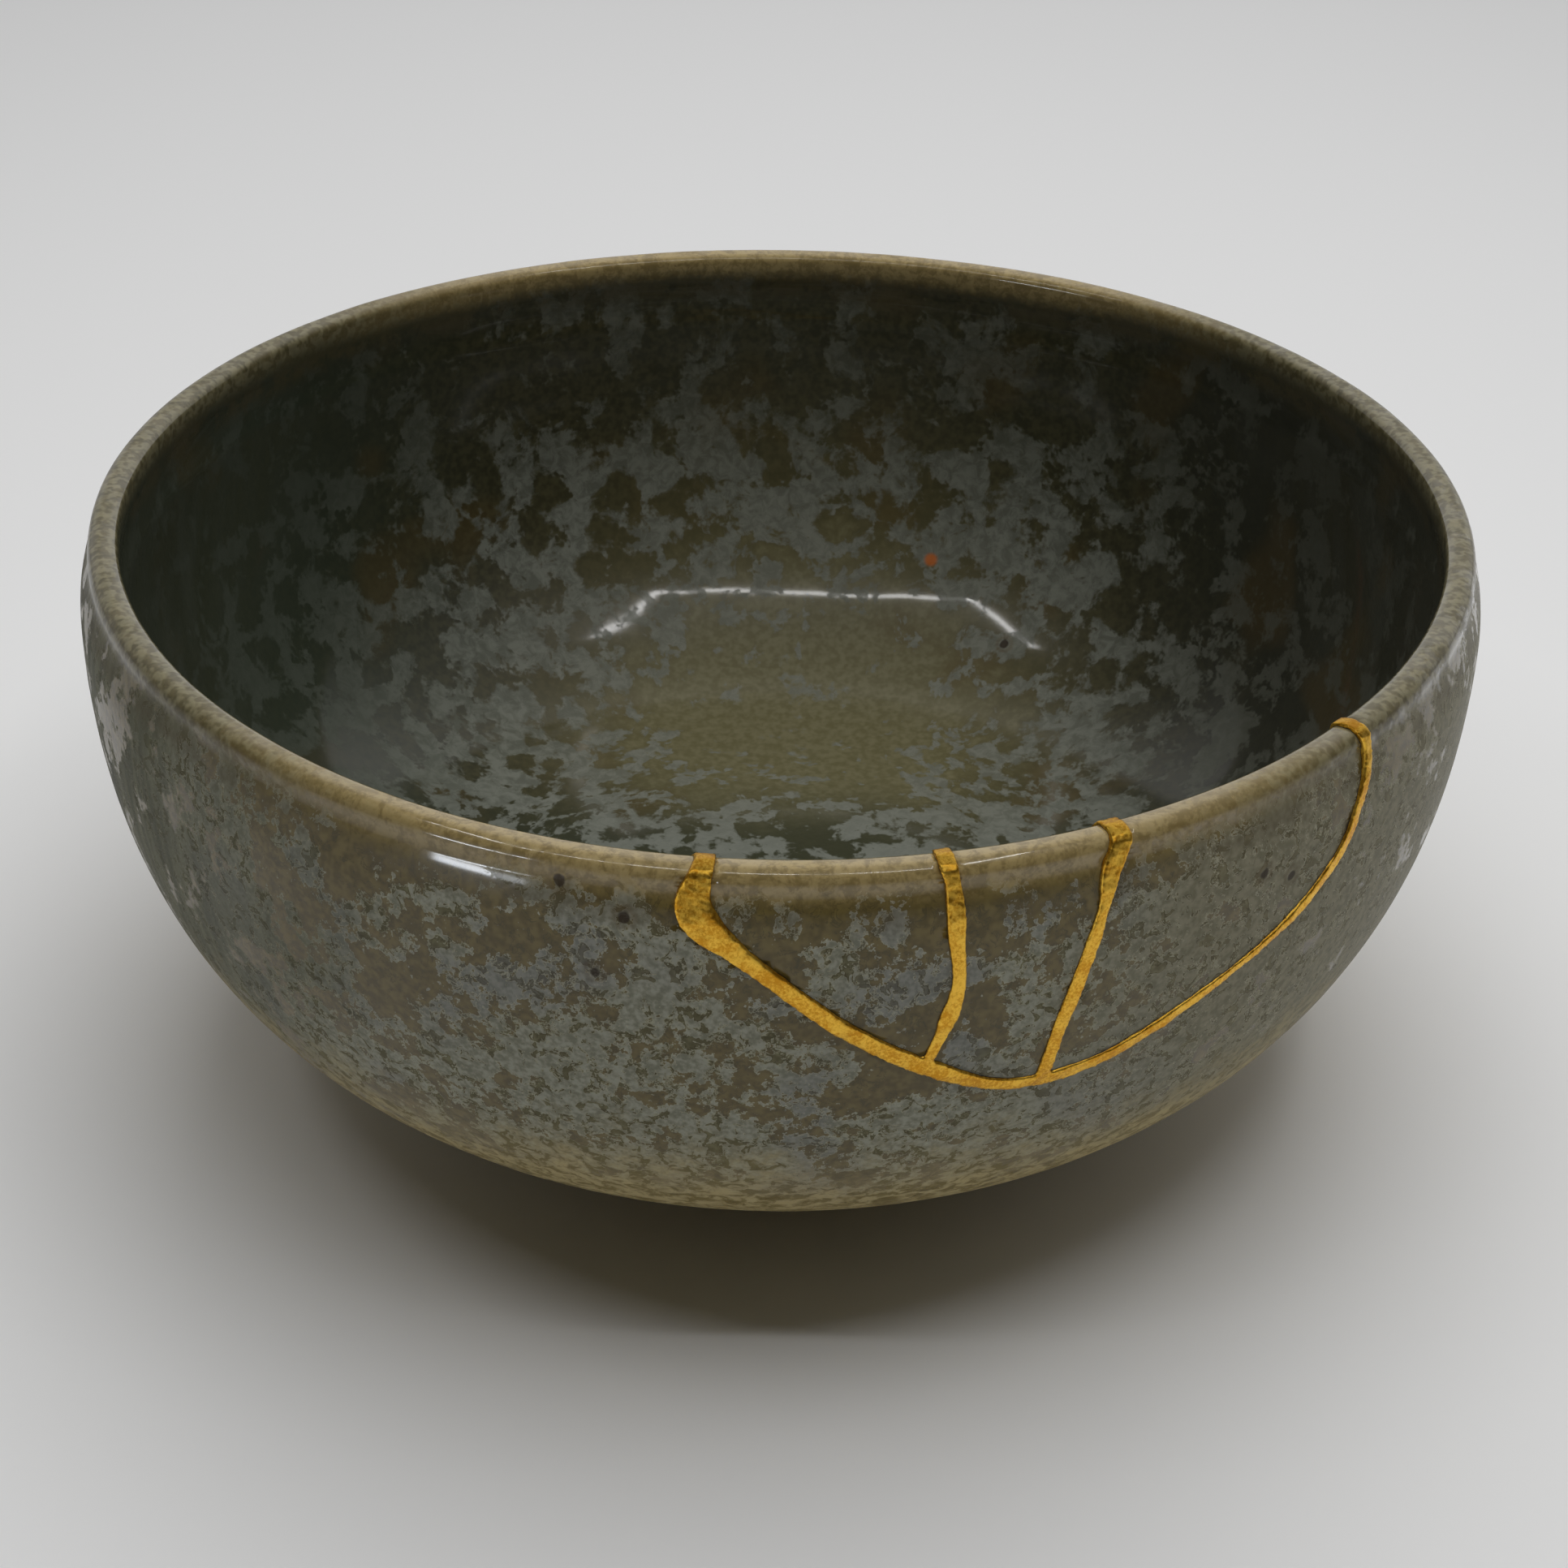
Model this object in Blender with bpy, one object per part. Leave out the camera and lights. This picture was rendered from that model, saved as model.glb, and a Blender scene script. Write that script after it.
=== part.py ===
"""A hand-thrown stoneware bowl, broken at the rim and mended with gold lacquer.

The bowl stands on its foot ring with the origin under its centre and +Z up. Three sherds fill the break in
the rim, and one net of lacquer, dusted with gold, fills the joints through the whole wall and over the lip.
Lengths are in metres.
"""

import math

import bmesh
import bpy
from mathutils import Vector

MM = 0.001

# Overall form
HEIGHT = 69.0 * MM
BELLY_RADIUS = 80.0 * MM
BELLY_DROP = 9.2 * MM

# Lip, which leans in a little from the belly and has a flat top with two rounded edges
LIP_RADIUS = 78.7 * MM
LIP_THICKNESS = 3.5 * MM
LIP_ROUNDING = 1.0 * MM
LIP_CROWN = 0.15 * MM

# Wall and floor, thicker towards the foot
BELLY_WALL = 4.8 * MM
FLOOR_THICKNESS = 6.5 * MM
FLOOR_RADIUS = 25.0 * MM

# Curve of the body between belly and floor: a superellipse with these two exponents
BODY_DROP_POWER = 2.13
BODY_RADIUS_POWER = 2.99

# Foot ring
FOOT_RADIUS = 35.5 * MM
FOOT_HEIGHT = 7.7 * MM
FOOT_TAPER = 1.0 * MM
FOOT_WIDTH = 5.0 * MM
FOOT_RECESS = 5.0 * MM
FOOT_CHAMFER = 0.7 * MM
FOOT_FILLET = 1.6 * MM
FOOT_FILLET_OUT_SHARE = 0.3
FOOT_FILLET_DOWN_SHARE = 0.2

# How far the hand-thrown wall strays from a true circle, and where each bulge points
OVAL = 0.55 * MM
OVAL_AZIMUTH = 45.0
TREFOIL = 0.8 * MM
TREFOIL_AZIMUTH = -90.0
ROUND_BELOW = 9.0 * MM
UNEVEN_ABOVE = 20.0 * MM

# Gold lacquer
JOINT_WIDTH = 2.0 * MM
SEAM_PROUD = 0.35 * MM
SEAM_CLEARANCE = 0.3 * MM
SEAM_OVERRUN = 4.0 * MM

# Every crack points at the middle of the bowl's mouth. A cutter reaches between these shares of the way from
# there to the wall.
CRACK_INNER_SHARE = 0.6
CRACK_OUTER_SHARE = 1.3

# Routes of the cracks on the outer wall. A point is its azimuth in degrees from +X, its depth as a share of
# the drop from the lip to the foot ring, and the width of the gold there as a share of the joint width. The
# front of the bowl is -90.
LONG_CRACK = [
    (-95.0, 0.000, 0.95),
    (-95.3, 0.020, 1.25),
    (-95.6, 0.045, 1.60),
    (-95.4, 0.070, 1.70),
    (-94.5, 0.096, 1.55),
    (-92.4, 0.135, 1.00),
    (-90.2, 0.178, 0.85),
    (-88.0, 0.223, 0.90),
    (-85.0, 0.281, 0.85),
    (-81.5, 0.338, 0.90),
    (-78.0, 0.384, 0.90),
    (-75.0, 0.421, 0.70),
    (-72.2, 0.440, 0.65),
    (-69.3, 0.443, 0.75),
    (-66.3, 0.434, 0.70),
    (-63.3, 0.415, 0.65),
    (-58.0, 0.366, 0.55),
    (-53.0, 0.322, 0.45),
    (-49.0, 0.283, 0.50),
    (-45.5, 0.238, 0.60),
    (-42.9, 0.190, 0.65),
    (-41.2, 0.124, 0.60),
    (-39.9, 0.062, 0.55),
    (-39.7, 0.025, 0.55),
    (-39.9, 0.000, 0.85),
]
LEFT_CRACK = [
    (-78.1, 0.000, 0.85),
    (-77.8, 0.028, 0.70),
    (-77.6, 0.075, 0.85),
    (-77.5, 0.125, 0.75),
    (-77.2, 0.190, 0.60),
    (-77.3, 0.230, 0.70),
    (-77.8, 0.272, 0.85),
    (-78.3, 0.312, 0.55),
    (-79.2, 0.369, 0.50),
]
RIGHT_CRACK = [
    (-64.9, 0.000, 1.05),
    (-65.2, 0.020, 1.00),
    (-65.9, 0.052, 0.95),
    (-66.3, 0.085, 0.75),
    (-66.6, 0.115, 0.50),
    (-67.2, 0.165, 0.70),
    (-68.0, 0.232, 0.75),
    (-68.9, 0.305, 0.70),
    (-69.6, 0.385, 0.65),
    (-69.9, 0.440, 0.70),
]

# Fineness of the faceted solids
SEGMENTS = 84
BODY_STEPS = 11
SHOULDER_STEPS = 2
ROUNDING_STEPS = 3
CRACK_STEPS = 3
SPECK = 0.03 * MM

# Edges sharper than this, in degrees, stay crisp
SHARP_ANGLE = 35.0

GLAZE_COLOUR = (0.115, 0.115, 0.095, 1.0)
GLAZE_ROUGHNESS = 0.3
GOLD_COLOUR = (0.78, 0.45, 0.06, 1.0)
GOLD_ROUGHNESS = 0.35


def clear_scene():
    for obj in list(bpy.data.objects):
        bpy.data.objects.remove(obj)


def material(name, colour, roughness, metallic):
    made = bpy.data.materials.new(name)
    made.use_nodes = True
    shader = made.node_tree.nodes["Principled BSDF"]
    shader.inputs["Base Color"].default_value = colour
    shader.inputs["Roughness"].default_value = roughness
    shader.inputs["Metallic"].default_value = metallic
    return made


# Half-sections, as lists of (radius, height)


def body_drop():
    """Drop from the lip to the lowest level of the body, where the foot ring begins."""
    return HEIGHT - FOOT_HEIGHT


def lip_edge():
    """How far below the top the rounding of the lip's two edges begins."""
    return LIP_CROWN + LIP_ROUNDING


def body_point(turn):
    """Outer wall below the belly: turn 0 is the belly, and turn 1 the level bottom."""
    angle = turn * math.pi / 2
    radius = FLOOR_RADIUS + (BELLY_RADIUS - FLOOR_RADIUS) * math.cos(angle) ** (2 / BODY_RADIUS_POWER)
    drop = BELLY_DROP + (body_drop() - BELLY_DROP) * math.sin(angle) ** (2 / BODY_DROP_POWER)
    return radius, HEIGHT - drop


def shoulder_point(rise):
    """Outer wall above the belly: rise 0 is the belly, and rise 1 the outer edge of the lip."""
    radius = BELLY_RADIUS - (BELLY_RADIUS - LIP_RADIUS) * rise**2
    return radius, HEIGHT - BELLY_DROP + rise * (BELLY_DROP - lip_edge())


def foot_turn():
    """The turn of the body's curve at which the foot ring's fillet leaves it."""
    share = (FOOT_RADIUS + FOOT_FILLET - FLOOR_RADIUS) / (BELLY_RADIUS - FLOOR_RADIUS)
    return math.acos(max(0.0, share) ** (BODY_RADIUS_POWER / 2)) / (math.pi / 2)


def outer_radius(drop):
    """Radius of the outer wall this far below the lip."""
    if drop <= BELLY_DROP:
        rise = min(1.0, (BELLY_DROP - drop) / (BELLY_DROP - lip_edge()))
        return shoulder_point(rise)[0]
    depth = min(1.0, (drop - BELLY_DROP) / (body_drop() - BELLY_DROP))
    return body_point(math.asin(depth ** (BODY_DROP_POWER / 2)) / (math.pi / 2))[0]


def inward(curve, thicknesses):
    """The curve moved square to itself, into the wall on its left as it runs down the outside."""
    moved = []
    last = len(curve) - 1
    for i, (radius, height) in enumerate(curve):
        before = curve[max(0, i - 1)]
        after = curve[min(last, i + 1)]
        along = Vector((after[0] - before[0], after[1] - before[1])).normalized()
        moved.append((radius + along.y * thicknesses[i], height - along.x * thicknesses[i]))
    return moved


def foot_section():
    """Foot ring and the level recess inside it, from the outer fillet to the axis."""
    sole = FOOT_RADIUS - FOOT_TAPER
    inside = sole - FOOT_WIDTH
    return [
        (
            FOOT_RADIUS + FOOT_FILLET_OUT_SHARE * FOOT_FILLET,
            FOOT_HEIGHT - FOOT_FILLET_DOWN_SHARE * FOOT_FILLET,
        ),
        (FOOT_RADIUS, FOOT_HEIGHT - FOOT_FILLET),
        (sole, FOOT_CHAMFER),
        (sole - FOOT_CHAMFER, 0.0),
        (inside + FOOT_CHAMFER, 0.0),
        (inside, FOOT_CHAMFER),
        (inside, FOOT_RECESS - FOOT_CHAMFER),
        (inside - FOOT_CHAMFER, FOOT_RECESS),
        (0.0, FOOT_RECESS),
    ]


def inner_section():
    """Inner wall and floor, from the lip down to the axis."""
    rises = [1 - i / SHOULDER_STEPS for i in range(SHOULDER_STEPS)]
    turns = [i / BODY_STEPS for i in range(BODY_STEPS + 1)]
    curve = [shoulder_point(rise) for rise in rises] + [body_point(turn) for turn in turns]
    wall = [BELLY_WALL + (LIP_THICKNESS - BELLY_WALL) * rise for rise in rises]
    wall += [BELLY_WALL + (FLOOR_THICKNESS - BELLY_WALL) * turn for turn in turns]
    moved = inward(curve, wall)
    moved[0] = (LIP_RADIUS - LIP_THICKNESS, HEIGHT - lip_edge())
    floor = HEIGHT - body_drop() + FLOOR_THICKNESS
    moved[-1] = (FLOOR_RADIUS, floor)
    return moved + [(0.0, floor)]


def lip_section():
    """The top of the lip from its outer to its inner rounding, without the points where the walls begin."""
    middle = LIP_RADIUS - LIP_THICKNESS / 2
    reach = LIP_THICKNESS / 2 - LIP_ROUNDING
    base = HEIGHT - lip_edge()
    half = []
    for i in range(1, ROUNDING_STEPS + 1):
        angle = math.pi / 2 * i / ROUNDING_STEPS
        half.append((reach + LIP_ROUNDING * math.cos(angle), base + LIP_ROUNDING * math.sin(angle)))
    outer = [(middle + offset, height) for offset, height in half]
    inner = [(middle - offset, height) for offset, height in half[::-1]]
    return outer + [(middle, HEIGHT)] + inner


def bowl_section():
    """Closed half-section, from the axis up the inside, over the lip and down to the foot ring."""
    rises = [1 - i / SHOULDER_STEPS for i in range(SHOULDER_STEPS)]
    turns = [i / BODY_STEPS * foot_turn() for i in range(BODY_STEPS + 1)]
    outside = [shoulder_point(rise) for rise in rises] + [body_point(turn) for turn in turns]
    inside = inner_section()[::-1]
    return inside + lip_section()[::-1] + outside + foot_section()


def swollen(section, growth):
    """The closed half-section with every face moved out of the clay by the same growth."""
    swelled = []
    last = len(section) - 1
    for i, (radius, height) in enumerate(section):
        before = section[max(0, i - 1)]
        after = section[min(last, i + 1)]
        along = Vector((after[0] - before[0], after[1] - before[1])).normalized()
        moved = max(0.0, radius - along.y * growth)
        swelled.append((0.0 if radius == 0.0 else moved, height + along.x * growth))
    return swelled


# Solids


def unevenness(azimuth, height):
    """How far the thrown wall stands out from a true circle. It fades out above the round foot ring."""
    fade = min(1.0, max(0.0, (height - ROUND_BELOW) / (UNEVEN_ABOVE - ROUND_BELOW)))
    oval = OVAL * math.cos(2 * (azimuth - math.radians(OVAL_AZIMUTH)))
    trefoil = TREFOIL * math.cos(3 * (azimuth - math.radians(TREFOIL_AZIMUTH)))
    return (oval + trefoil) * fade * fade * (3 - 2 * fade)


def thrown(radius, height, azimuth):
    """The point of the wall at this radius, height and azimuth, with the unevenness of the throwing."""
    reach = radius * (1 + unevenness(azimuth, height) / BELLY_RADIUS)
    return (reach * math.cos(azimuth), reach * math.sin(azimuth), height)


def add_mesh(name, points, faces):
    mesh = bpy.data.meshes.new(name)
    mesh.from_pydata(points, [], faces)
    mesh.validate()
    obj = bpy.data.objects.new(name, mesh)
    bpy.context.scene.collection.objects.link(obj)
    return obj


def turned(name, section):
    """The half-section turned once round the Z axis. Its first and last points lie on the axis."""
    points = [(0.0, 0.0, section[0][1]), (0.0, 0.0, section[-1][1])]
    rings = section[1:-1]
    azimuths = [2 * math.pi * i / SEGMENTS for i in range(SEGMENTS)]
    for radius, height in rings:
        points += [thrown(radius, height, azimuth) for azimuth in azimuths]
    faces = []
    for i in range(SEGMENTS):
        j = (i + 1) % SEGMENTS
        faces.append((0, 2 + i, 2 + j))
        for ring in range(len(rings) - 1):
            near = 2 + ring * SEGMENTS
            far = near + SEGMENTS
            faces.append((near + i, far + i, far + j, near + j))
        end = 2 + (len(rings) - 1) * SEGMENTS
        faces.append((1, end + j, end + i))
    return add_mesh(name, points, faces)


def smooth_route(points):
    """A Catmull-Rom curve through the crack's points, with straight leads out past any end on the lip."""
    first, last = points[0], points[-1]
    run = [(2 * first[0] - points[1][0], 2 * first[1] - points[1][1], first[2])] + points
    run.append((2 * last[0] - points[-2][0], 2 * last[1] - points[-2][1], last[2]))
    route = []
    for i in range(1, len(run) - 2):
        for step in range(CRACK_STEPS):
            t = step / CRACK_STEPS
            weights = (
                -0.5 * t + t**2 - 0.5 * t**3,
                1 - 2.5 * t**2 + 1.5 * t**3,
                0.5 * t + 2 * t**2 - 1.5 * t**3,
                -0.5 * t**2 + 0.5 * t**3,
            )
            around = run[i - 1 : i + 3]
            route.append(tuple(sum(w * p[k] for w, p in zip(weights, around)) for k in range(3)))
    route.append(last)
    overrun = SEAM_OVERRUN / body_drop()
    if first[1] == 0.0:
        route.insert(0, (first[0], -overrun, first[2]))
    if last[1] == 0.0:
        route.append((last[0], -overrun, last[2]))
    return route


def crack_band(name, points, clearance):
    """A cutter along the crack and through the wall, as wide as the gold and a clearance on each side."""
    route = smooth_route(points)
    apex = Vector((0.0, 0.0, HEIGHT))
    targets = []
    for azimuth, depth, _ in route:
        drop = depth * body_drop()
        targets.append(Vector(thrown(outer_radius(drop), HEIGHT - drop, math.radians(azimuth))))
    half_widths = [width * JOINT_WIDTH / 2 + clearance for _, _, width in route]
    corners = []
    last = len(targets) - 1
    for i, target in enumerate(targets):
        ray = target - apex
        along = (targets[min(last, i + 1)] - targets[max(0, i - 1)]).normalized()
        side = ray.cross(along).normalized() * half_widths[i]
        corners += [
            apex + (ray - side) * CRACK_INNER_SHARE,
            apex + (ray + side) * CRACK_INNER_SHARE,
            apex + (ray + side) * CRACK_OUTER_SHARE,
            apex + (ray - side) * CRACK_OUTER_SHARE,
        ]
    faces = [(3, 2, 1, 0), (4 * last, 4 * last + 1, 4 * last + 2, 4 * last + 3)]
    for i in range(last):
        for k in range(4):
            m = (k + 1) % 4
            faces.append((4 * i + k, 4 * i + m, 4 * i + 4 + m, 4 * i + 4 + k))
    return add_mesh(name, [tuple(corner) for corner in corners], faces)


def combine(target, other, operation):
    """Applies one exact Boolean to the target and removes the other solid."""
    modifier = target.modifiers.new(operation.lower(), "BOOLEAN")
    modifier.operation = operation
    modifier.solver = "EXACT"
    modifier.object = other
    with bpy.context.temp_override(object=target, active_object=target):
        bpy.ops.object.modifier_apply(modifier=modifier.name)
    bpy.data.objects.remove(other)
    return target


def crack_net(name, clearance):
    """The long crack and the two cracks that run from the rim into it, as one cutter."""
    net = crack_band(name, LONG_CRACK, clearance)
    combine(net, crack_band("left_crack", LEFT_CRACK, clearance), "UNION")
    combine(net, crack_band("right_crack", RIGHT_CRACK, clearance), "UNION")
    return net


def weld(obj):
    """Merges the specks that a cut leaves where it grazes an edge."""
    work = bmesh.new()
    work.from_mesh(obj.data)
    bmesh.ops.remove_doubles(work, verts=work.verts, dist=SPECK)
    bmesh.ops.dissolve_degenerate(work, dist=SPECK, edges=work.edges)
    work.to_mesh(obj.data)
    work.free()


def split_loose(obj):
    """Separates the object's loose solids, and gives them back with the largest first."""
    before = set(bpy.data.objects)
    for other in bpy.context.view_layer.objects:
        other.select_set(other == obj)
    bpy.context.view_layer.objects.active = obj
    bpy.ops.mesh.separate(type="LOOSE")
    pieces = [obj] + [piece for piece in bpy.data.objects if piece not in before]
    return sorted(pieces, key=lambda piece: -len(piece.data.vertices))


def middle_azimuth(obj):
    """Azimuth of the middle of a piece, which puts the sherds in order round the rim."""
    corners = [Vector(corner) for corner in obj.bound_box]
    middle = sum(corners, Vector()) / len(corners)
    return math.atan2(middle.y, middle.x)


def finish(obj, surface, parent):
    weld(obj)
    obj.data.name = obj.name
    obj.data.materials.clear()
    obj.data.materials.append(surface)
    obj.data.shade_smooth()
    obj.data.set_sharp_from_angle(angle=math.radians(SHARP_ANGLE))
    obj.parent = parent


def build():
    clear_scene()
    glaze = material("glaze", GLAZE_COLOUR, GLAZE_ROUGHNESS, 0.0)
    gold = material("gold_lacquer", GOLD_COLOUR, GOLD_ROUGHNESS, 1.0)
    bowl = bpy.data.objects.new("mended_bowl", None)
    bpy.context.scene.collection.objects.link(bowl)

    whole = turned("bowl_body", bowl_section())
    combine(whole, crack_net("cracks", SEAM_CLEARANCE), "DIFFERENCE")
    body, *sherds = split_loose(whole)
    body.name = "bowl_body"
    finish(body, glaze, bowl)
    for sherd, place in zip(sorted(sherds, key=middle_azimuth), ("left", "middle", "right")):
        sherd.name = "rim_sherd_" + place
        finish(sherd, glaze, bowl)

    seam = turned("gold_seam", swollen(bowl_section(), SEAM_PROUD))
    combine(seam, crack_net("gold_paths", 0.0), "INTERSECT")
    seam.name = "gold_seam"
    finish(seam, gold, bowl)


build()
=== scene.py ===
# %% [markdown]
# # A mended stoneware bowl
#
# This bowl was thrown on a wheel, dipped in a glaze that grows pale crystals as it cools, and later broken at the
# rim. Someone joined the three sherds again with lacquer and dusted the joints with gold powder. The lesson turns
# the plain solids of the frame into that bowl: a finer wall, a painted glaze and a raised gold line.

# %% Load the solids
import math

import bpy
from mathutils import Matrix, Vector
from mathutils.bvhtree import BVHTree


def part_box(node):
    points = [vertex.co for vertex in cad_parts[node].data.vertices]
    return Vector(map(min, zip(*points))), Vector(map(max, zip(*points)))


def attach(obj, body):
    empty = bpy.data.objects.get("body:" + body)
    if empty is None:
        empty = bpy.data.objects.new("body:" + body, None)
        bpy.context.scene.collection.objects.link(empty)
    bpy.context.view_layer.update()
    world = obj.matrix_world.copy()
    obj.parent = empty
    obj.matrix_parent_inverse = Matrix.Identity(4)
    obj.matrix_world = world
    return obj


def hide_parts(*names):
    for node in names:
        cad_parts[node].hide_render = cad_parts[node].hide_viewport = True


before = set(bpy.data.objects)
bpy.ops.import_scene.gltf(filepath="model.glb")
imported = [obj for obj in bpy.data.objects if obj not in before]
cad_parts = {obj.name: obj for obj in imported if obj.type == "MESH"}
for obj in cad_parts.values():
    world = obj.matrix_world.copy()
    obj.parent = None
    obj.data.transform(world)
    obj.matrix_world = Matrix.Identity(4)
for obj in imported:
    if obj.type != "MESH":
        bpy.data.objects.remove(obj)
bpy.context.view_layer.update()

MM = 0.001

# %% [markdown]
# ## The camera
#
# The photograph looks down on the bowl from the front. Its outline, the ellipse of the rim and the curve of the lip
# together fix the view, so the camera is placed in real lengths: so far from the middle of the lip, so high, and
# aimed at a point inside the body. A long lens keeps the perspective gentle.

# %% Place the camera
PHOTO_PIXELS = 1932
FOCAL_PIXELS = 4132
SENSOR_MM = 36.0
CAMERA_DISTANCE = 384.5 * MM
CAMERA_RISE = math.radians(26.03)
CAMERA_AIM = Vector((0.7, 0.0, 31.5)) * MM
CAMERA_ROLL = math.radians(1.35)

lip_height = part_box("bowl_body")[1][2]
camera_data = bpy.data.cameras.new("photo_camera")
camera_data.sensor_width = SENSOR_MM
camera_data.lens = FOCAL_PIXELS / PHOTO_PIXELS * SENSOR_MM
camera = bpy.data.objects.new("photo_camera", camera_data)
bpy.context.scene.collection.objects.link(camera)
camera_place = Vector((0.0, -math.cos(CAMERA_RISE), math.sin(CAMERA_RISE))) * CAMERA_DISTANCE
camera_place.z += lip_height
look = (CAMERA_AIM - camera_place).to_track_quat("-Z", "Y").to_matrix().to_4x4()
camera.matrix_world = Matrix.Translation(camera_place) @ look @ Matrix.Rotation(CAMERA_ROLL, 4, "Z")
bpy.context.scene.camera = camera
print("camera at", [round(1000 * c) for c in camera_place], "mm, lens", round(camera_data.lens, 1), "mm")

# %% [markdown]
# ## Small helpers for modelling
#
# Operators act on whatever is selected, so each step starts by clearing the selection and taking up one object.
# A finished piece keeps its object at the origin, with its place in the mesh, as the solids do.

# %% Selecting, applying and finishing


def take_up(piece):
    """Selects this object alone and makes it the active one."""
    bpy.ops.object.select_all(action="DESELECT")
    piece.select_set(True)
    bpy.context.view_layer.objects.active = piece


def apply_modifier(piece, name, kind, **settings):
    """Adds a modifier with these settings and applies it at once."""
    modifier = piece.modifiers.new(name, kind)
    for key, value in settings.items():
        setattr(modifier, key, value)
    take_up(piece)
    bpy.ops.object.modifier_apply(modifier=modifier.name)


WELD = 0.002 * MM


def merged_copy(node_name, name):
    """A copy of a solid whose loose triangles are merged into one skin."""
    take_up(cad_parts[node_name])
    bpy.ops.object.duplicate()
    piece = bpy.context.view_layer.objects.active
    piece.name = name
    bpy.ops.object.mode_set(mode="EDIT")
    bpy.ops.mesh.select_all(action="SELECT")
    bpy.ops.mesh.remove_doubles(threshold=WELD)
    bpy.ops.mesh.normals_make_consistent(inside=False)
    bpy.ops.object.mode_set(mode="OBJECT")
    return piece


def grain(name, size):
    """A cloud texture for the Displace modifier, with lumps of this size."""
    texture = bpy.data.textures.new(name, "CLOUDS")
    texture.noise_scale = size
    texture.noise_depth = 2
    return texture


def wave(piece, name, size, strength):
    """Lifts and sinks the surface by a cloud texture with lumps of this size."""
    apply_modifier(
        piece, name, "DISPLACE",
        texture=grain(name, size), texture_coords="LOCAL", strength=strength, mid_level=0.5,
    )


print("helpers ready")

# %% [markdown]
# ## The wall
#
# A thrown bowl is a section turned round an axis. The section is drawn as a chain of points: over the floor, up the
# inside, over the lip, down the outside and round the foot ring. A spin then turns it. The wall's curve is a
# superellipse, as in the solids, and the lip has two soft edges outside and one inside, which catch the light.

# %% The measures of the section
BELLY_RADIUS = 80.0 * MM
BELLY_DROP = 9.2 * MM
LIP_RADIUS = 78.7 * MM
LIP_THICKNESS = 3.5 * MM
BELLY_WALL = 4.8 * MM
FLOOR_THICKNESS = 6.5 * MM
FLOOR_RADIUS = 25.0 * MM
BODY_DROP_POWER = 2.13
BODY_RADIUS_POWER = 2.99
FOOT_RADIUS = 35.5 * MM
FOOT_HEIGHT = 7.7 * MM

body_drop = lip_height - FOOT_HEIGHT


def body_point(turn):
    """The outer wall below the belly: turn 0 is the belly and turn 1 the level bottom."""
    angle = turn * math.pi / 2
    radius = FLOOR_RADIUS + (BELLY_RADIUS - FLOOR_RADIUS) * max(0.0, math.cos(angle)) ** (2 / BODY_RADIUS_POWER)
    drop = BELLY_DROP + (body_drop - BELLY_DROP) * math.sin(angle) ** (2 / BODY_DROP_POWER)
    return Vector((radius, lip_height - drop))


def shoulder_point(rise, top_drop):
    """The outer wall above the belly: rise 0 is the belly and rise 1 the level where the lip begins."""
    radius = BELLY_RADIUS - (BELLY_RADIUS - LIP_RADIUS) * rise**2
    return Vector((radius, lip_height - BELLY_DROP + rise * (BELLY_DROP - top_drop)))


def moved_inward(curve, thicknesses):
    """The curve moved square to itself into the wall, which lies on the inner side of a line drawn downwards."""
    moved = []
    for i, point in enumerate(curve):
        along = (curve[min(i + 1, len(curve) - 1)] - curve[max(i - 1, 0)]).normalized()
        moved.append(point + Vector((along.y, -along.x)) * thicknesses[i])
    return moved


print("body is", round(1000 * body_drop, 1), "mm deep")

# %% [markdown]
# The lip is drawn as a short list of corners, each with its own rounding. The inner edge is one soft round. The
# outer edge was pressed with a finger, which left a narrow bevel, a little hollow, between two soft edges.

# %% Rounded corners and the lip
LIP_CORNERS = [
    (-1.75, -2.40, 0.00),
    (-1.68, -0.15, 0.95),
    (0.55, 0.05, 0.50),
    (1.35, -0.50, 0.40),
    (1.73, -1.35, 0.48),
    (1.75, -2.40, 0.00),
]
CORNER_STEPS = 5


def rounded(corners):
    """The line through (across, up, rounding) corners in millimetres, with each inner corner rounded off."""
    line = [Vector(corners[0][:2])]
    for before, corner, after in zip(corners, corners[1:], corners[2:]):
        here = Vector(corner[:2])
        back = (Vector(before[:2]) - here).normalized() * corner[2]
        on = (Vector(after[:2]) - here).normalized() * corner[2]
        for step in range(CORNER_STEPS + 1):
            t = step / CORNER_STEPS
            line.append(here + back * (1 - t) ** 2 + on * t**2)
    return line + [Vector(corners[-1][:2])]


lip_middle = LIP_RADIUS - LIP_THICKNESS / 2
lip_line = [Vector((lip_middle + p.x * MM, lip_height + p.y * MM)) for p in rounded(LIP_CORNERS)]
print("lip has", len(lip_line), "points")

# %% The whole section
WALL_STEPS = 96
SHOULDER_STEPS = 12
FOOT_CORNERS = [
    (1.60, 0.4, 0.0),
    (0.30, -0.5, 1.2),
    (-1.00, -7.7, 0.6),
    (-6.00, -7.7, 0.6),
    (-5.60, -2.7, 0.8),
    (-12.0, -2.7, 0.0),
]
LIP_DROP = 2.4 * MM
FLOOR_STEPS = 12
RECESS_STEPS = 6

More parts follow.
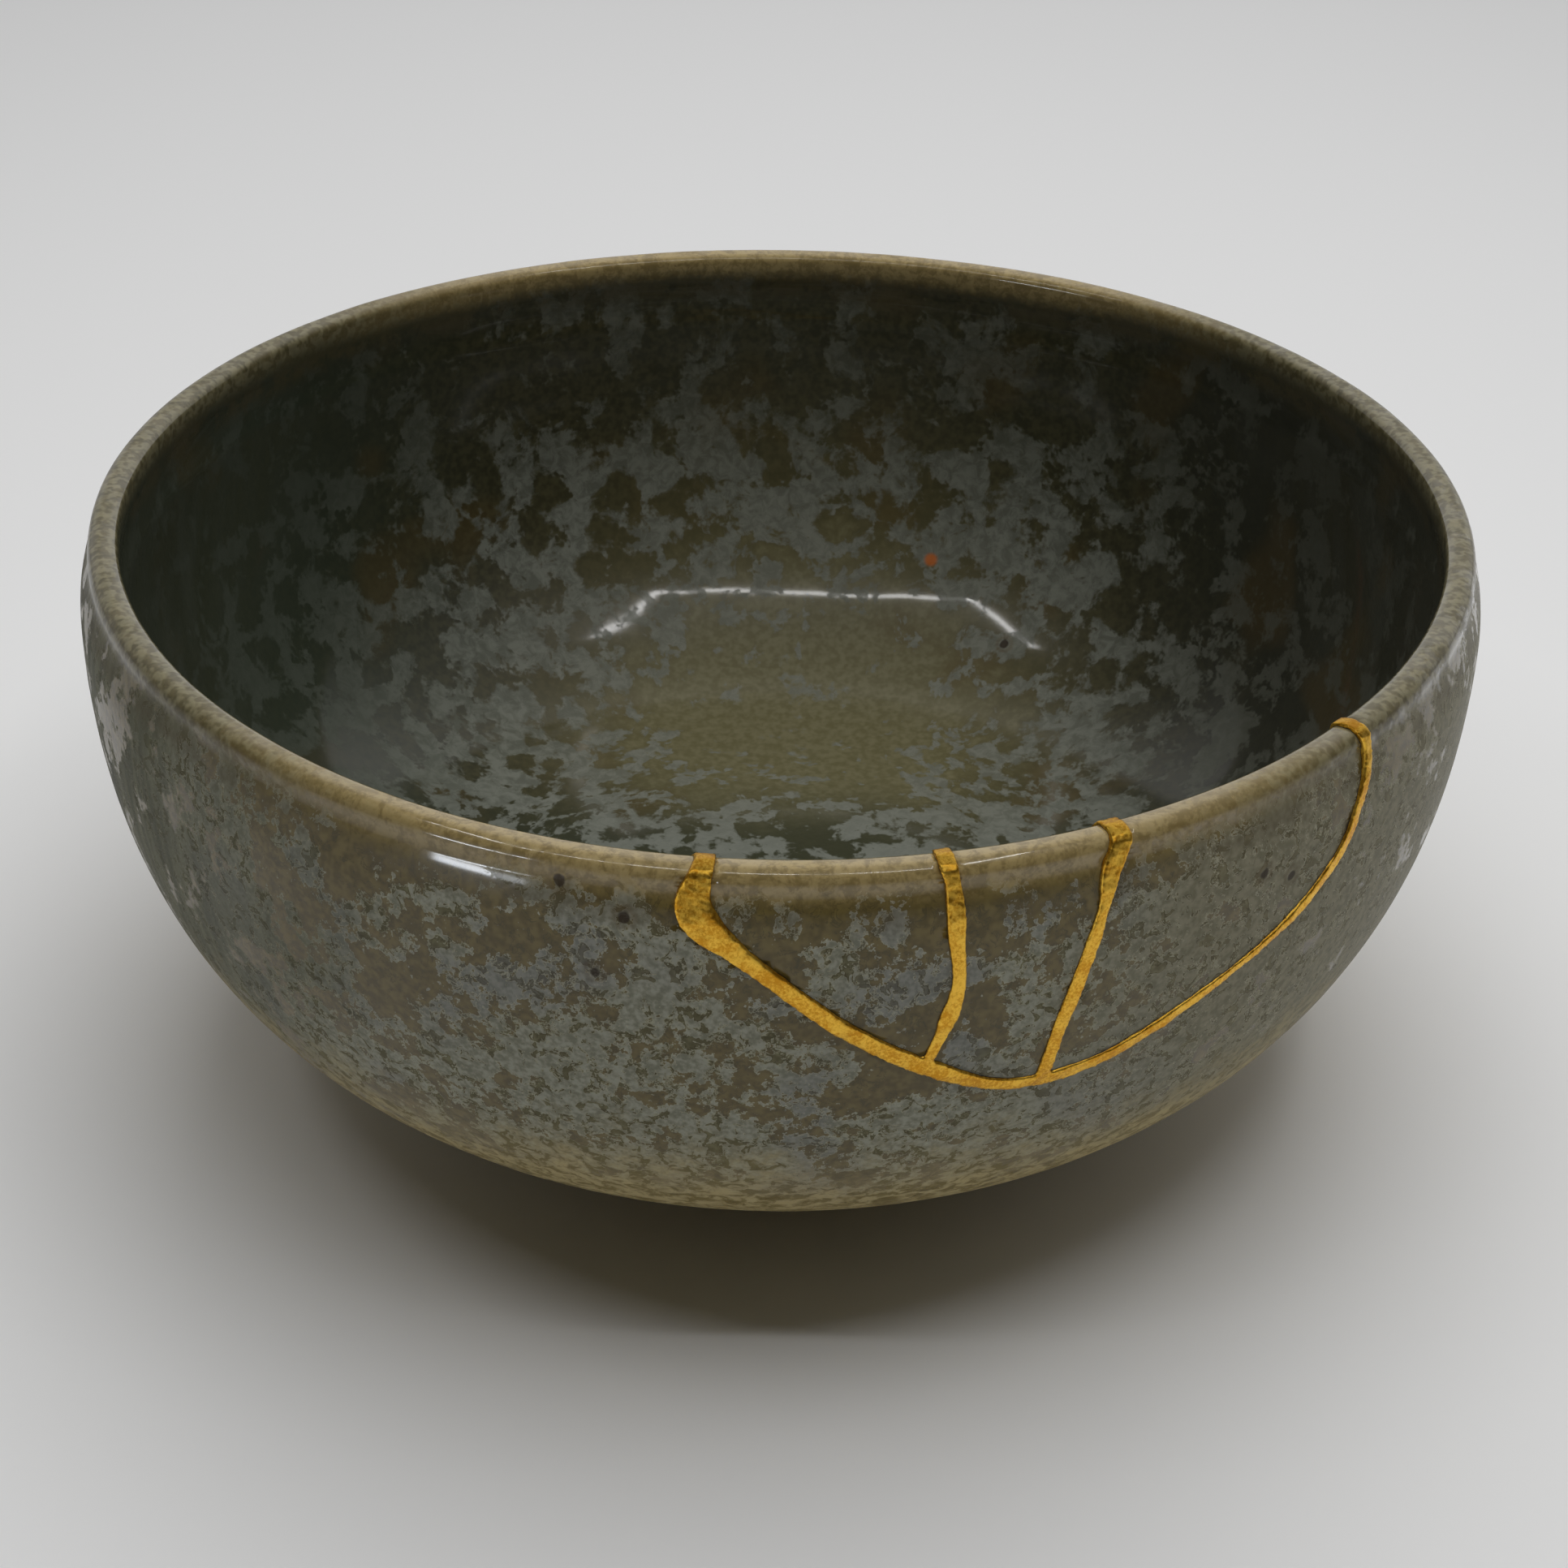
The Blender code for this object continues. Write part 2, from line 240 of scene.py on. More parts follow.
rises = [1 - i / SHOULDER_STEPS for i in range(SHOULDER_STEPS)]
turns = [i / WALL_STEPS for i in range(WALL_STEPS + 1)]
curve = [shoulder_point(rise, LIP_DROP) for rise in rises] + [body_point(turn) for turn in turns]
wall = [BELLY_WALL + (LIP_THICKNESS - BELLY_WALL) * rise for rise in rises]
wall += [BELLY_WALL + (FLOOR_THICKNESS - BELLY_WALL) * turn for turn in turns]
inside = moved_inward(curve, wall)[1:][::-1]
foot_line = [Vector((FOOT_RADIUS + p.x * MM, FOOT_HEIGHT + p.y * MM)) for p in rounded(FOOT_CORNERS)]
outside = [point for point in curve[1:] if point.x > foot_line[0].x]
floor_level = inside[0].y
floor_line = [Vector((FLOOR_RADIUS * step / FLOOR_STEPS, floor_level)) for step in range(FLOOR_STEPS)]
recess_edge = foot_line[-1]
recess = [Vector((recess_edge.x * (1 - i / RECESS_STEPS), recess_edge.y)) for i in range(1, RECESS_STEPS + 1)]
section = floor_line + inside + lip_line + outside + foot_line + recess
print("section has", len(section), "points")

# %% [markdown]
# A plane merged at its middle leaves one point. Extruding that point again and again draws the section, and a spin
# with as many steps as the eye can ask for turns it into the wall. The seam of the spin is merged shut.

# %% Draw the section and spin it
AROUND = 300

bpy.ops.object.select_all(action="DESELECT")
bpy.ops.mesh.primitive_plane_add(size=MM, location=(0.0, 0.0, 0.0))
thrown_wall = bpy.context.view_layer.objects.active
thrown_wall.name = "thrown_wall"
bpy.ops.object.mode_set(mode="EDIT")
bpy.ops.mesh.select_all(action="SELECT")
bpy.ops.mesh.merge(type="CENTER")
bpy.ops.transform.translate(value=(section[0].x, 0.0, section[0].y))
for here, following in zip(section, section[1:]):
    step = following - here
    bpy.ops.mesh.extrude_vertices_move(TRANSFORM_OT_translate={"value": (step.x, 0.0, step.y)})
bpy.ops.mesh.select_all(action="SELECT")
bpy.ops.mesh.spin(steps=AROUND, angle=2 * math.pi, center=(0.0, 0.0, 0.0), axis=(0.0, 0.0, 1.0))
bpy.ops.mesh.select_all(action="SELECT")
bpy.ops.mesh.remove_doubles(threshold=WELD)
bpy.ops.mesh.select_all(action="SELECT")
bpy.ops.mesh.normals_make_consistent(inside=False)
bpy.ops.object.mode_set(mode="OBJECT")
print("wall has", len(thrown_wall.data.polygons), "faces")

# %% [markdown]
# ## The hand in it
#
# No thrown bowl is a true circle. This one is a little oval and a little three-cornered, fading out at the foot,
# which is turned on the wheel. Two layers of cloud texture then lift and sink the surface, by a tenth and
# by a hundredth of a millimetre, so that reflections waver as they do on a real glaze.

# %% Unevenness of the throwing
OVAL = 0.55 * MM
OVAL_AZIMUTH = math.radians(45)
TREFOIL = 0.8 * MM
TREFOIL_AZIMUTH = math.radians(-90)
ROUND_BELOW = 9.0 * MM
UNEVEN_ABOVE = 20.0 * MM

for vertex in thrown_wall.data.vertices:
    place = vertex.co
    azimuth = math.atan2(place.y, place.x)
    fade = min(1.0, max(0.0, (place.z - ROUND_BELOW) / (UNEVEN_ABOVE - ROUND_BELOW)))
    stray = OVAL * math.cos(2 * (azimuth - OVAL_AZIMUTH)) + TREFOIL * math.cos(3 * (azimuth - TREFOIL_AZIMUTH))
    stretch = 1 + stray * fade * fade * (3 - 2 * fade) / BELLY_RADIUS
    vertex.co = (place.x * stretch, place.y * stretch, place.z)

wave(thrown_wall, "slow_waves", 16 * MM, 0.12 * MM)
wave(thrown_wall, "glaze_waves", 3.2 * MM, 0.012 * MM)
print("wall is uneven by", round(1000 * (OVAL + TREFOIL), 2), "mm at most")

# %% [markdown]
# ## The gold seam
#
# The lacquer in the joints was built up, rubbed down and dusted with gold, so it stands a little proud with soft
# edges. The solid seam of the frame already runs the right way and reaches through the wall. A fine voxel skin of
# it is smoothed until its edges round over, and a cloud texture makes its edges wander as a brush does.

# %% Skin the seam with lacquer
SEAM_VOXEL = 0.17 * MM
PROUD = 0.12 * MM

gold = merged_copy("gold_seam", "gold_lacquer_seam")
apply_modifier(gold, "swell", "DISPLACE", strength=PROUD, mid_level=0.0)
apply_modifier(gold, "skin", "REMESH", mode="VOXEL", voxel_size=SEAM_VOXEL)
apply_modifier(gold, "soften", "SMOOTH", factor=0.5, iterations=8)
wave(gold, "brush", 1.8 * MM, 0.22 * MM)
wave(gold, "grit", 0.45 * MM, 0.035 * MM)
print("gold has", len(gold.data.polygons), "faces")

# %% [markdown]
# The gold shows dark lacquer where it thins out on the glaze. Each point of the seam is given its height above the
# clay, measured to the nearest point of the wall, and the paint reads that number.

# %% Measure how proud the gold stands
clay_tree = BVHTree.FromPolygons(
    [vertex.co for vertex in thrown_wall.data.vertices],
    [polygon.vertices for polygon in thrown_wall.data.polygons],
)
heights = []
for vertex in gold.data.vertices:
    nearest, normal, _, _ = clay_tree.find_nearest(vertex.co)
    heights.append((vertex.co - nearest).dot(normal) / MM)
proud = gold.data.attributes.new("proud_mm", "FLOAT", "POINT")
proud.data.foreach_set("value", heights)
print("gold stands up to", round(max(heights), 2), "mm proud")

# %% [markdown]
# ## Break the wall
#
# The seam, made slightly slimmer, cuts the turned wall into the body and the three sherds, so each piece of clay is
# an object of its own and runs a hair under the gold.

# %% Cut the sherds out
SLIMMER = 0.12 * MM

cutter = merged_copy("gold_seam", "crack")
apply_modifier(cutter, "slim", "DISPLACE", strength=-SLIMMER, mid_level=0.0)
apply_modifier(thrown_wall, "break", "BOOLEAN", operation="DIFFERENCE", solver="EXACT", object=cutter)
bpy.data.objects.remove(cutter)
take_up(thrown_wall)
bpy.ops.object.mode_set(mode="EDIT")
bpy.ops.mesh.select_all(action="SELECT")
bpy.ops.mesh.separate(type="LOOSE")
bpy.ops.object.mode_set(mode="OBJECT")


def middle_azimuth(piece):
    """The direction of a piece's middle, seen from the bowl's axis."""
    corners = [Vector(corner) for corner in piece.bound_box]
    middle = sum(corners, Vector()) / len(corners)
    return math.atan2(middle.y, middle.x)


clay_pieces = sorted(bpy.context.selected_objects, key=lambda piece: -len(piece.data.polygons))
body, sherds = clay_pieces[0], sorted(clay_pieces[1:], key=middle_azimuth)
body.name = "glazed_body"
clay = {"bowl_body": body}
for sherd, place in zip(sherds, ("left", "middle", "right")):
    sherd.name = "glazed_sherd_" + place
    clay["rim_sherd_" + place] = sherd
print("clay pieces:", {piece.name: len(piece.data.polygons) for piece in clay_pieces})

# %% Smooth shading and places
SHARP_ANGLE = math.radians(40)

for piece in clay_pieces + [gold]:
    take_up(piece)
    bpy.ops.object.shade_smooth_by_angle(angle=SHARP_ANGLE)
    bpy.ops.object.transform_apply(location=True, rotation=True, scale=True)
print("origins:", {tuple(piece.location) for piece in clay_pieces + [gold]})

# %% [markdown]
# ## Paint written as sums
#
# A material is a net of nodes, and most of it is arithmetic. One small class wraps a socket, so that an expression
# such as 1 - mask adds the Math node it needs. Colours are mixed by their own node, which keeps them in colour.

# %% A socket that can be added and multiplied


class Value:
    """A number that varies over the surface. Sums and products of values add Math nodes to the material."""

    def __init__(self, paint, socket):
        self.paint = paint
        self.socket = socket

    def math(self, operation, *others):
        """One Math node with this value first."""
        return self.paint.node("ShaderNodeMath", {"operation": operation}, {0: self, **dict(enumerate(others, 1))})

    def reflected(self, operation, other):
        """One Math node with the plain number first, as in 1 - mask."""
        return self.paint.node("ShaderNodeMath", {"operation": operation}, {0: other, 1: self})

    def __add__(self, other):
        return self.math("ADD", other)

    def __sub__(self, other):
        return self.math("SUBTRACT", other)

    def __mul__(self, other):
        return self.math("MULTIPLY", other)

    def __truediv__(self, other):
        return self.math("DIVIDE", other)

    def __radd__(self, other):
        return self.reflected("ADD", other)

    def __rsub__(self, other):
        return self.reflected("SUBTRACT", other)

    def __rmul__(self, other):
        return self.reflected("MULTIPLY", other)


class Paint:
    """A material or a world under construction, with the few kinds of node that this bowl needs."""

    def __init__(self, owner, shader="Principled BSDF"):
        owner.use_nodes = True
        self.owner = owner
        self.tree = owner.node_tree
        self.shader = self.tree.nodes[shader]

    def node(self, kind, settings=None, inputs=None, output=0):
        """Any node: its type, its settings, what feeds its inputs, and the output that is wanted."""
        made = self.tree.nodes.new(kind)
        for key, value in (settings or {}).items():
            setattr(made, key, value)
        for key, value in (inputs or {}).items():
            self.feed(made.inputs[key], value)
        return Value(self, made.outputs[output])

    def feed(self, socket, value):
        if isinstance(value, Value):
            self.tree.links.new(value.socket, socket)
        else:
            socket.default_value = value

    def set(self, **sockets):
        """Feeds the shader's own sockets, with _ for a blank in a name."""
        for name, value in sockets.items():
            self.feed(self.shader.inputs[name.replace("_", " ")], value)

    def place(self):
        return self.node("ShaderNodeTexCoord", output="Object")

    def parts(self, place):
        """The three numbers of a place or a direction."""
        split = self.tree.nodes.new("ShaderNodeSeparateXYZ")
        self.feed(split.inputs[0], place)
        return [Value(self, socket) for socket in split.outputs]

    def joined(self, *parts):
        """A place put together from three numbers."""
        return self.node("ShaderNodeCombineXYZ", None, dict(enumerate(parts)))

    def blend(self, share, first, second):
        """The first place where share is 0, the second where it is 1."""
        return self.node("ShaderNodeMix", {"data_type": "VECTOR"}, {0: share, 4: first, 5: second}, output=1)

    def distance(self, place, point):
        return self.node("ShaderNodeVectorMath", {"operation": "DISTANCE"}, {0: place, 1: point}, output="Value")

    def noise(self, place, size, detail=2.0, roughness=0.5, distortion=0.0, offset=0.0):
        """Fractal noise from 0 to 1 with lumps of this size in metres."""
        shifted = self.node("ShaderNodeVectorMath", {"operation": "ADD"}, {0: place, 1: (offset, offset, offset)})
        inputs = {"Vector": shifted, "Scale": 1 / size, "Detail": detail, "Roughness": roughness,
                  "Distortion": distortion}
        return self.node("ShaderNodeTexNoise", None, inputs)

    def band(self, value, low, high, soft):
        """1 between low and high, and 0 outside, with soft edges."""
        return self.rise(value, low - soft, low + soft) * (1 - self.rise(value, high - soft, high + soft))

    def rise(self, value, low, high):
        """0 below low, 1 above high, and a smooth step between."""
        settings = {"interpolation_type": "SMOOTHSTEP"}
        return self.node("ShaderNodeMapRange", settings, {"Value": value, 1: low, 2: high})

    def mix(self, share, first, second):
        """The first colour where share is 0, the second where it is 1."""
        return self.node("ShaderNodeMix", {"data_type": "RGBA"}, {0: share, 6: first, 7: second}, output=2)

    def bump(self, height, strength, distance):
        """A surface direction that follows a height, for the finest relief alone."""
        return self.node("ShaderNodeBump", None, {"Height": height, "Strength": strength, "Distance": distance})


def rgb(red, green, blue):
    """A colour given as screen values from 0 to 255, turned into light."""
    light = [(c / 255 / 12.92) if c <= 10 else ((c / 255 + 0.055) / 1.055) ** 2.4 for c in (red, green, blue)]
    return (*light, 1.0)


print("grey 128 is", round(rgb(128, 128, 128)[0], 3), "in light")

# %% [markdown]
# ## The glaze
#
# The glaze is a glassy olive coat. As the kiln cooled, pale matte crystals grew in it and left ragged islands with
# curled rims. Outside they are dense and crisp, and turn to cream near the foot. Inside they form a soft net with
# round holes, thin high on the wall and missing in one olive pool on the far side of the floor. That pool and a soft
# glow round it are painted lighter, as a painted reflection of the lit roof of the box. Along the lip the glaze ran
# thin and shows the tan clay.
#
# All of it is worked out from the place on the bowl: the height, the distance from the axis, and the direction that
# the surface faces, which tells the inside from the outside.

# %% Where on the bowl
glaze = Paint(bpy.data.materials.new("crystal_glaze"))
place = glaze.place()
east, north, height = glaze.parts(place)
radius = (east * east + north * north).math("SQRT")
drop = lip_height - height

from_centre = glaze.node("ShaderNodeVectorMath", {"operation": "SUBTRACT"}, {0: place, 1: (0.0, 0.0, lip_height)})
outward = glaze.node("ShaderNodeVectorMath", {"operation": "NORMALIZE"}, {0: from_centre})
facing = glaze.node("ShaderNodeTexCoord", output="Normal")
turned_out = glaze.node("ShaderNodeVectorMath", {"operation": "DOT_PRODUCT"}, {0: facing, 1: outward}, output="Value")
inner = 1 - glaze.rise(turned_out, -0.35, 0.05)
outside = 1 - inner
print("glaze knows its place")

# %% [markdown]
# The wet glaze crept down the wall, so inside its pattern is drawn out along the slope. That needs coordinates that
# run round the axis, and these fade into plain ones on the floor, where they would pinch.

# %% Noises
FLOW_RADIUS = 55 * MM
STREAK_RADIUS = 80 * MM
WANDER = (4 * MM, 4 * MM, 4 * MM)

flow = glaze.joined(east / radius * FLOW_RADIUS, north / radius * FLOW_RADIUS, (drop - radius) * 0.62)
inner_place = glaze.blend(glaze.rise(radius, 28 * MM, 50 * MM), place, flow)
clouds = glaze.noise(place, 26 * MM, detail=1.0, offset=0.31)
tints = glaze.noise(place, 15 * MM, detail=1.0, offset=0.87)
ragged = glaze.noise(place, 5.6 * MM, detail=5.0, roughness=0.70, offset=0.12)
fine = glaze.noise(place, 1.7 * MM, detail=3.0, roughness=0.66, distortion=0.6, offset=0.48)
flecks = glaze.noise(place, 1.1 * MM, detail=1.0, roughness=0.7, offset=0.57)
specks = glaze.noise(place, 0.40 * MM, detail=1.0, offset=0.77)
soft_islands = glaze.noise(inner_place, 4.2 * MM, detail=4.0, roughness=0.62, distortion=0.3, offset=0.63)
wandering = glaze.node("ShaderNodeVectorMath", {"operation": "MULTIPLY_ADD"}, {
    0: glaze.joined(flecks - 0.5, fine - 0.5, ragged - 0.5), 1: WANDER, 2: inner_place,
})
holes = glaze.node("ShaderNodeTexVoronoi", None, {"Vector": wandering, "Scale": 1 / (4.6 * MM)}, output="Distance")
streak_place = glaze.joined(east / radius * STREAK_RADIUS, north / radius * STREAK_RADIUS, height * 0.10)
streaks = glaze.noise(streak_place, 2.2 * MM, detail=1.0, roughness=0.6, offset=0.35)
print("noises ready")

# %% [markdown]
# A crystal island is where a ragged noise rises over a threshold. Shifting the noise up or down by region makes the
# islands merge or thin out, and a narrow band around the threshold draws their pale rims.

# %% Crystals outside
right_side = glaze.rise(east + (clouds - 0.5) * (40 * MM), 20 * MM, 44 * MM) * outside
left_side = (1 - glaze.rise(east + (clouds - 0.5) * (30 * MM), -64 * MM, -40 * MM)) * outside
rim_band = 1 - glaze.rise(drop + (ragged - 0.5) * (16 * MM), 2.0 * MM, 7.0 * MM)
outer_growth = (
    ragged + (clouds - 0.5) * 0.24 + (fine - 0.5) * 0.16 + glaze.rise(drop, 10 * MM, 34 * MM) * 0.03
    + right_side * 0.07 + left_side * 0.04 - rim_band * 0.06
)
outer_crystals = glaze.rise(outer_growth, 0.472, 0.492)
crust = fine + (outer_growth - 0.5) * 0.55 + (flecks - 0.5) * 0.12
dense = glaze.rise(crust, 0.485, 0.525) * outer_crystals
pale_rims = glaze.band(outer_growth, 0.488, 0.502, 0.006)
curls = glaze.band(crust, 0.490, 0.512, 0.008) * outer_crystals
gaps = glaze.band(fine + (flecks - 0.5) * 0.20, 0.405, 0.440, 0.012)
print("crystals outside")

# %% Crystals inside
POOL_MIDDLE = (3 * MM, 44 * MM, 17 * MM)

pool_distance = glaze.distance(place, POOL_MIDDLE)
# The pool has fewer crystals, and its lighter glass colour below is a painted reflection of the lit roof.
pool_and_reflection = 1 - glaze.rise(pool_distance + (soft_islands - 0.5) * (46 * MM), 13 * MM, 29 * MM)
# A soft painted reflection of the roof, brightest at the pool's middle and fading outwards.
painted_pool_reflection = 1 - glaze.rise(pool_distance, 10 * MM, 52 * MM)
walls = glaze.rise(east * east, 30 * MM * 30 * MM, 64 * MM * 64 * MM)
high = glaze.rise(height, 34 * MM, 54 * MM)
inner_growth = (
    soft_islands + (holes - 0.42) * 0.30 + (clouds - 0.5) * 0.20 + (flecks - 0.5) * 0.14
    - pool_and_reflection * 0.16 - high * 0.05 - rim_band * 0.08
)
inner_crystals = glaze.rise(inner_growth, 0.475, 0.580) * (1 - high * 0.45) * (1 - walls * 0.30 * (1 - high))
crystals = glaze.node("ShaderNodeMix", {"data_type": "FLOAT"}, {0: inner, 2: outer_crystals, 3: inner_crystals})
print("crystals inside")

# %% [markdown]
# The colours follow: first the glass and the crystals inside, then both outside, and one mix that joins them.

# %% Colours inside
flecked = glaze.rise(flecks, 0.30, 0.70)
speckled = glaze.rise(specks * 0.4 + flecks * 0.6, 0.36, 0.64)
right_wall = glaze.rise(east, 0.0, 30 * MM)
glass_in = glaze.mix(flecked, rgb(48, 47, 31), rgb(66, 63, 43))
# Painted reflection: the glass and the crystals are made lighter in and round the pool, where the glaze mirrors the
# roof.
glass_in = glaze.mix(painted_pool_reflection, glass_in, rgb(98, 92, 62))
glass_in = glaze.mix(pool_and_reflection, glass_in, glaze.mix(flecked, rgb(98, 93, 64), rgb(112, 107, 79)))
bloom_in = glaze.mix(glaze.rise(fine, 0.35, 0.65), rgb(84, 86, 76), rgb(110, 112, 102))
bloom_in = glaze.mix(painted_pool_reflection * 0.5, bloom_in, rgb(118, 117, 102))
front_floor = (1 - glaze.rise(north + (clouds - 0.5) * (20 * MM), 12 * MM, 34 * MM)) * (1 - walls)
glass_in = glaze.mix(front_floor * 0.75, glass_in, rgb(50, 54, 40))
bloom_in = glaze.mix(front_floor * 0.65, bloom_in, rgb(114, 117, 108))
side_glass = glaze.mix(right_wall, rgb(49, 56, 45), rgb(44, 45, 38))
side_bloom = glaze.mix(right_wall, rgb(66, 72, 62), rgb(74, 75, 65))
coat_in = glaze.mix(
    inner_crystals, glaze.mix(walls * 0.85, glass_in, side_glass), glaze.mix(walls * 0.85, bloom_in, side_bloom)
)
rust = glaze.rise(tints, 0.56, 0.70) * (1 - inner_crystals) * (1 - pool_and_reflection)
coat_in = glaze.mix(rust * 0.28, coat_in, rgb(88, 70, 34))
low_left = (1 - glaze.rise(east, -46 * MM, -12 * MM)) * (1 - glaze.rise(north, -6 * MM, 26 * MM))
coat_in = glaze.mix(low_left * 0.55, coat_in, rgb(48, 50, 38))
print("colours inside mixed")

# %% Colours outside
glass_out = glaze.mix(flecked, rgb(86, 74, 34), rgb(112, 98, 54))
veil = glaze.mix(flecked, rgb(90, 85, 56), rgb(120, 116, 88))
bloom_out = glaze.mix(dense, veil, glaze.mix(speckled, rgb(122, 122, 104), rgb(158, 158, 142)))
violet = glaze.rise(tints + (0.5 - clouds) * 0.3, 0.48, 0.64) * (1 - right_side)
bloom_out = glaze.mix(violet * 0.35, bloom_out, rgb(108, 110, 118))
bloom_out = glaze.mix(right_side * 0.7, bloom_out, glaze.mix(flecked, rgb(112, 105, 78), rgb(134, 127, 100)))
left_colour = glaze.mix(glaze.rise(streaks, 0.35, 0.65), rgb(62, 63, 38), rgb(98, 98, 72))
bloom_out = glaze.mix(left_side * 0.8, bloom_out, left_colour)
coat_out = glaze.mix(outer_crystals, glass_out, bloom_out)
cream = glaze.rise(drop + (ragged - 0.5) * (24 * MM) + (clouds - 0.5) * (12 * MM), 32 * MM, 50 * MM)
coat_out = glaze.mix(gaps * (1 - cream) * 0.60, coat_out, rgb(66, 60, 32))
rims_and_curls = pale_rims.math("MAXIMUM", curls) * (1 - left_side * 0.6) * (1 - cream)
coat_out = glaze.mix(rims_and_curls * 0.60, coat_out, rgb(180, 178, 156))
cream_colour = glaze.mix(glaze.rise(fine, 0.38, 0.60), rgb(136, 120, 72), rgb(190, 172, 122))
coat_out = glaze.mix(cream * 0.85, coat_out, cream_colour)
coat = glaze.mix(inner, coat_out, coat_in)
print("glaze has", len(glaze.tree.nodes), "nodes so far")

# %% [markdown]
# The lip is tan where the viewer sees it first, and mottled with grey towards both sides.

# %% The lip and the foot
lip_drop_here = drop + (flecks - 0.5) * (1.4 * MM) + (clouds - 0.5) * (2.0 * MM)
thin_lip = 1 - glaze.rise(lip_drop_here, 1.4 * MM, 4.0 * MM)
tan = glaze.mix(glaze.rise(fine + (specks - 0.5) * 0.3, 0.36, 0.64), rgb(132, 114, 72), rgb(166, 146, 98))
mottled = glaze.mix(glaze.rise(flecks, 0.40, 0.60), rgb(54, 56, 42), rgb(108, 107, 86))
at_sides = glaze.rise(east * east + (fine - 0.5) * (3000 * MM * MM), 32 * MM * 32 * MM, 62 * MM * 62 * MM)
coat = glaze.mix(thin_lip * 0.95, coat, glaze.mix(at_sides * 0.75, tan, mottled))
brown_below = glaze.band(lip_drop_here, 3.2 * MM, 5.6 * MM, 1.4 * MM) * glaze.rise(ragged, 0.42, 0.56)
coat = glaze.mix(brown_below * 0.55, coat, rgb(84, 74, 50))

bare_clay = 1 - glaze.rise(height + (flecks - 0.5) * (1.5 * MM), 5.6 * MM, 6.4 * MM)
clay_colour = glaze.mix(glaze.rise(specks, 0.35, 0.65), rgb(128, 104, 78), rgb(160, 136, 104))
coat = glaze.mix(bare_clay, coat, clay_colour)
print("lip and foot coloured")

# %% [markdown]
# Gases left the odd pinhole in the glaze in a faint brown ring, and one grain of rust shows inside. The hole itself
# is only a bump, so its dark brown is painted shade.

# %% Pinholes
PINHOLES = [
    (-80.1, -7.7, 54.6), (-71.9, -35.8, 56.1), (-17.1, -78.7, 57.2), (-20.6, -77.0, 66.2), (-14.3, -79.0, 63.6),
    (58.2, -52.8, 59.8), (48.6, -62.2, 59.6), (51.7, -59.4, 57.7), (30.1, 53.2, 22.6),
]
RUST_GRAIN = (20.2, 64.0, 29.5)

pin_distance = 1.0
for pinhole in PINHOLES:
    there = glaze.distance(place, tuple(c * MM for c in pinhole))
    pin_distance = there.math("MINIMUM", pin_distance)
pin_distance = pin_distance + (flecks - 0.5) * (0.5 * MM)
pit_and_painted_shade = 1 - glaze.rise(pin_distance, 0.45 * MM, 0.75 * MM)
ring = glaze.band(pin_distance, 0.75 * MM, 1.30 * MM, 0.25 * MM)
coat = glaze.mix(ring * 0.35, coat, rgb(86, 68, 38))
# Painted shade: the inside of each pinhole is darkened, as the bump alone cannot shade it.
coat = glaze.mix(pit_and_painted_shade * 0.85, coat, rgb(44, 30, 14))
rust_grain = 1 - glaze.rise(glaze.distance(place, tuple(c * MM for c in RUST_GRAIN)), 0.5 * MM, 1.2 * MM)
coat = glaze.mix(rust_grain * 0.85, coat, rgb(176, 92, 24))
print("pinholes:", len(PINHOLES))

# %% [markdown]
# The glass between the crystals is glossy and the crystals are matte, so the same masks that chose the colours choose
# the shine: a clear coat over the glass, and a rougher skin under it. The glaze's own finest relief is a bump.

# %% Gloss and relief
matte = crystals * (0.34 + flecked * 0.16) * (1 - thin_lip)
relief = flecks * 0.55 + specks * 0.15 - pit_and_painted_shade * 1.5
gloss = inner + (1 - inner) * (0.45 + 0.55 * (1 - glaze.rise(drop, 3.5 * MM, 6.5 * MM))) * (1 - left_side * 0.7)
glaze.set(
    Base_Color=coat,
    Roughness=(0.30 + matte + bare_clay * 0.4).math("MINIMUM", 0.85),
    Coat_Weight=(1 - crystals * (0.70 + inner * 0.18)) * (1 - bare_clay) * gloss,
    Normal=glaze.bump(relief, 0.25, 0.16 * MM),
)
glaze.set(Specular_IOR_Level=0.22, Coat_Roughness=0.085, Coat_IOR=1.5)
print("glaze painted with", len(glaze.tree.nodes), "nodes")

# %% [markdown]
# ## The gold
#
# Gold powder on lacquer is not polished metal: it is satin, deep yellow, with small pits where the powder missed.
# Where the lacquer thins out at its edges it stays bare and dark brown.

# %% Paint the gold
leaf = Paint(bpy.data.materials.new("gold_powder"))
leaf_place = leaf.place()
proud_height = leaf.node("ShaderNodeAttribute", {"attribute_name": "proud_mm"}, output="Fac")
powder = leaf.noise(leaf_place, 0.30 * MM, detail=2.0, roughness=0.65, offset=0.21)
wear = leaf.noise(leaf_place, 2.4 * MM, detail=2.0, roughness=0.6, offset=0.43)
gold_colour = leaf.mix(leaf.rise(powder + (wear - 0.5) * 0.8, 0.3, 0.7), rgb(206, 146, 40), rgb(246, 198, 78))
bare = 1 - leaf.rise(proud_height + (powder - 0.5) * 0.10 + (wear - 0.5) * 0.12, 0.03, 0.10)
leaf.set(
    Base_Color=leaf.mix(bare, gold_colour, rgb(44, 30, 16)),
    Metallic=1 - bare,
    Roughness=0.40 + (powder - 0.5) * 0.25,
    Normal=leaf.bump(powder, 0.25, 0.07 * MM),
)
print("gold painted with", len(leaf.tree.nodes), "nodes")

